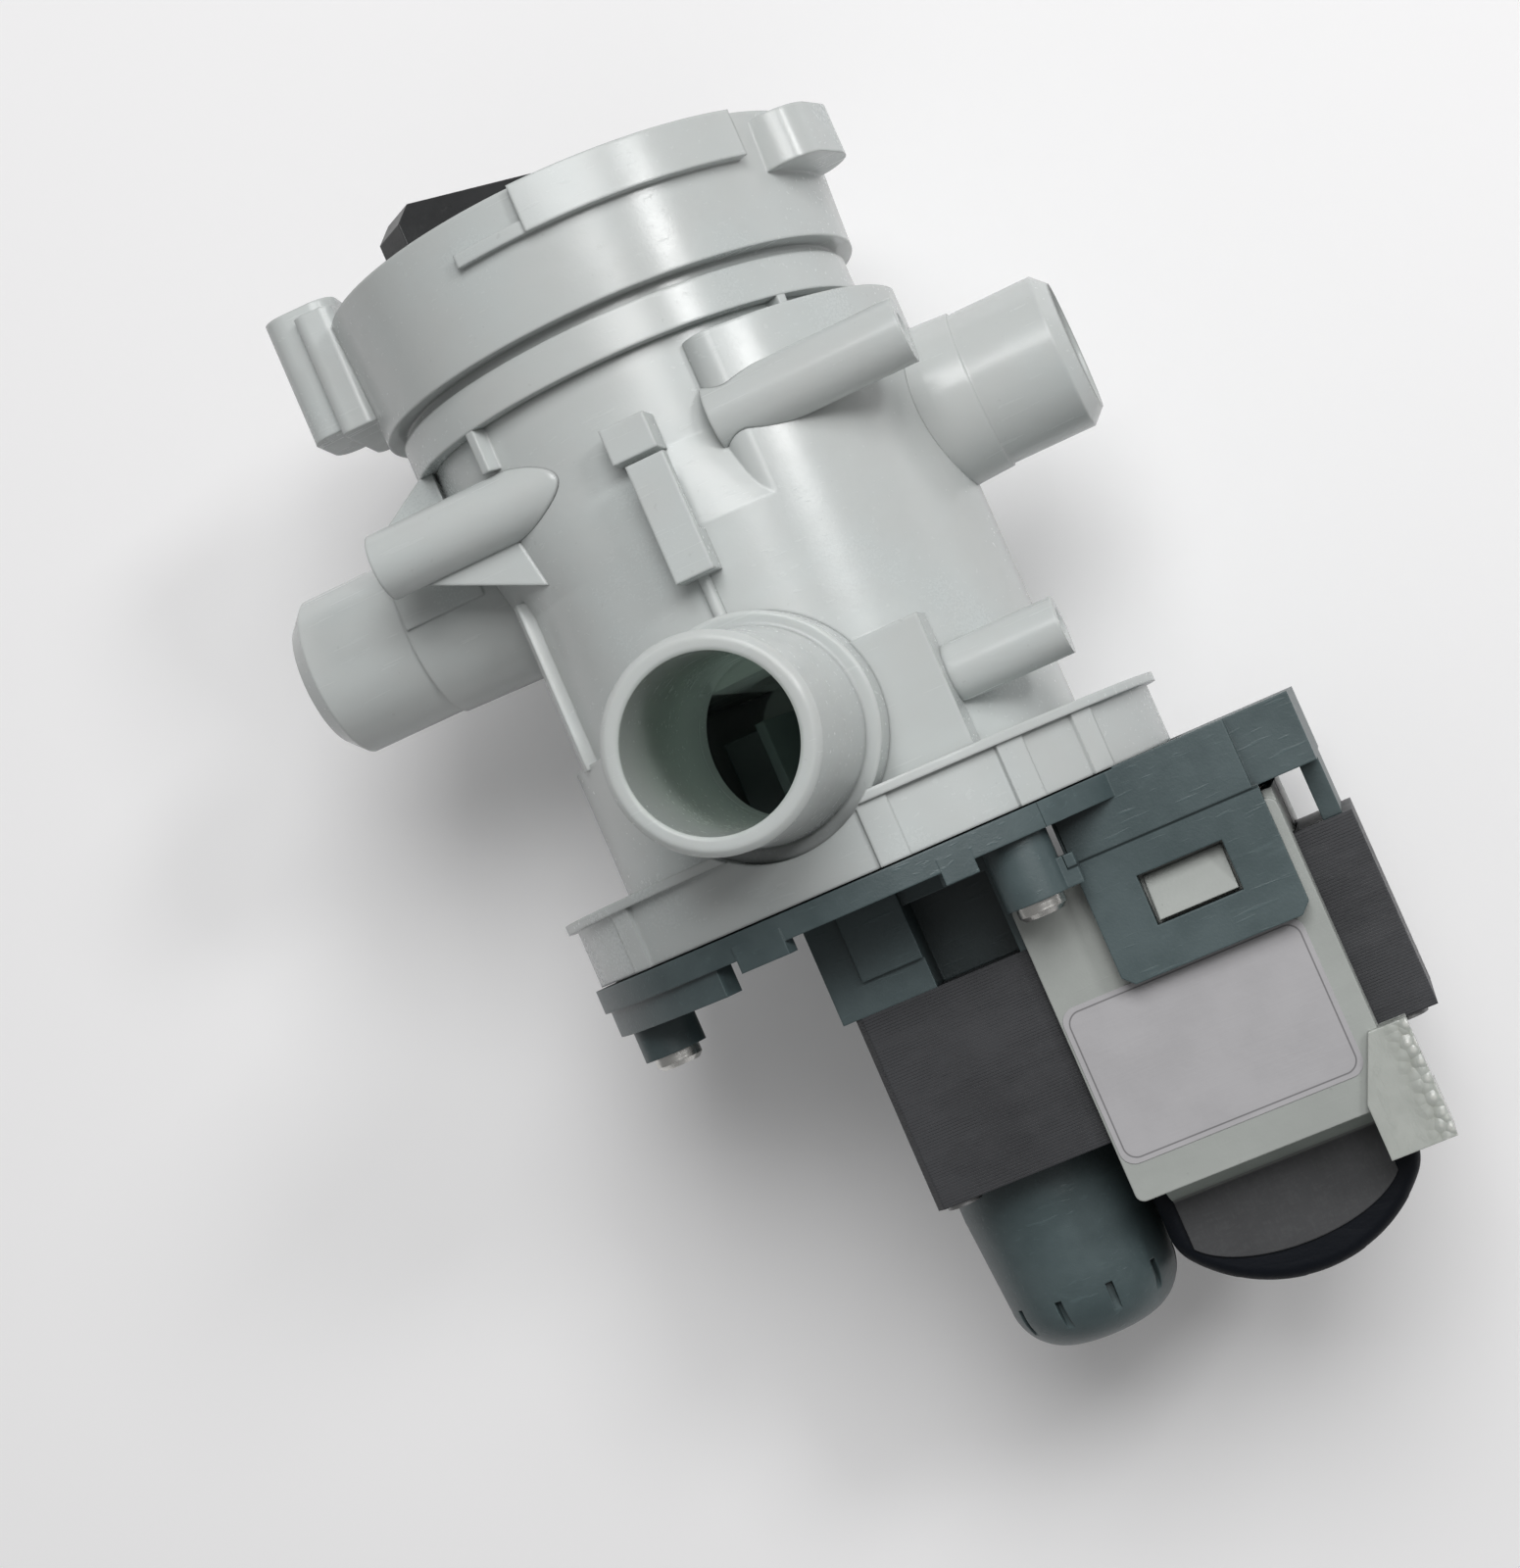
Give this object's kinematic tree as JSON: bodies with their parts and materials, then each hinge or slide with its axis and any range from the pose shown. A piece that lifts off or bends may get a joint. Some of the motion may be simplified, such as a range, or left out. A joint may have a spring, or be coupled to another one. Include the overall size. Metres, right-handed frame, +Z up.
{
  "type": "washer drain pump",
  "caption": "Drain pump with a filter housing: side and top spigots, screw-in filter cap with lint basket, and a laminated motor with twin coils and a rotor can.",
  "frame": {"origin": "on the floor under the middle of the pump's bounding box, the pump lying as in the picture", "axes": "+Y along the rotor's axis towards the filter cap, +Z up along the outlet spigot, +X towards the coils and the short side spigot"},
  "size_m": [0.1542, 0.2214, 0.1354],
  "materials": {
    "white_plastic": "satin off-white moulded plastic",
    "dark_plastic": "satin dark green-grey glass-filled plastic",
    "rubber": "smooth black rubber",
    "screw_steel": "zinc-plated, bright",
    "core_paint": "dark varnished steel laminations",
    "rivet_steel": "dull steel",
    "coil_plastic": "satin cream plastic",
    "copper_wire": "enamelled copper wire",
    "label_film": "bare light grey film",
    "black_tape": "black insulating tape",
    "cutout_case": "moulded case",
    "flap_card": "grey insulating card",
    "terminal_plastic": "translucent white plastic",
    "tab_metal": "tinned brass",
    "magnet": "dark ferrite",
    "grey_plastic": "satin grey plastic",
    "shaft_steel": "ground stainless steel",
    "bush_bronze": "sintered bronze",
    "washer_plastic": "natural nylon",
    "black_plastic": "satin black plastic",
    "basket_plastic": "satin light grey plastic"
  },
  "bodies": {
    "pump_body": {"pump_housing": "white_plastic", "housing_flange": "white_plastic", "filter_collar": "white_plastic", "impeller_chamber": "white_plastic", "outlet_tube": "white_plastic", "left_tube": "white_plastic", "right_tube": "white_plastic", "left_sleeve": "white_plastic", "right_sleeve": "white_plastic", "low_sleeve": "white_plastic", "cable_hook": "white_plastic", "motor_bracket": "dark_plastic", "rotor_can": "dark_plastic", "housing_seal": "rubber", "flange_screws": "screw_steel", "stator_core": "core_paint", "core_rivets": "rivet_steel", "front_bobbin": "coil_plastic", "rear_bobbin": "coil_plastic", "front_winding": "copper_wire", "rear_winding": "copper_wire", "rating_label": "label_film", "coil_end_wrap": "black_tape", "thermal_cutout": "cutout_case", "insulating_flap": "flap_card", "terminal_block": "terminal_plastic", "terminal_tabs": "tab_metal", "bearing_holder": "rubber", "front_bearing": "bush_bronze", "shaft_seal": "rubber", "rear_bearing": "bush_bronze"},
    "rotor": {"rotor_magnet": "magnet", "rotor_sleeve": "grey_plastic"},
    "impeller": {"impeller": "grey_plastic", "rotor_shaft": "shaft_steel", "drive_dog": "grey_plastic", "thrust_washers": "washer_plastic"},
    "basket": {"lint_basket": "basket_plastic"},
    "cap": {"filter_cap": "black_plastic", "cap_seal": "rubber"}
  },
  "joints": [
    {"name": "rotor_spin", "type": "hinge", "parent": "pump_body", "child": "rotor", "pos_m": [0.0055, -0.02115, 0.0544], "axis": [0, -1, 0], "continuous": true},
    {"name": "impeller_slip", "type": "hinge", "parent": "rotor", "child": "impeller", "pos_m": [0.0055, -0.02115, 0.0544], "axis": [0, -1, 0], "range_deg": [0, 166]},
    {"name": "filter_pull", "type": "slide", "parent": "pump_body", "child": "basket", "axis": [0, 1, 0], "range_m": [0, 0.08]},
    {"name": "cap_turn", "type": "hinge", "parent": "basket", "child": "cap", "pos_m": [-0.0049, -0.02115, 0.0544], "axis": [0, 1, 0], "range_deg": [0, 60]}
  ]
}
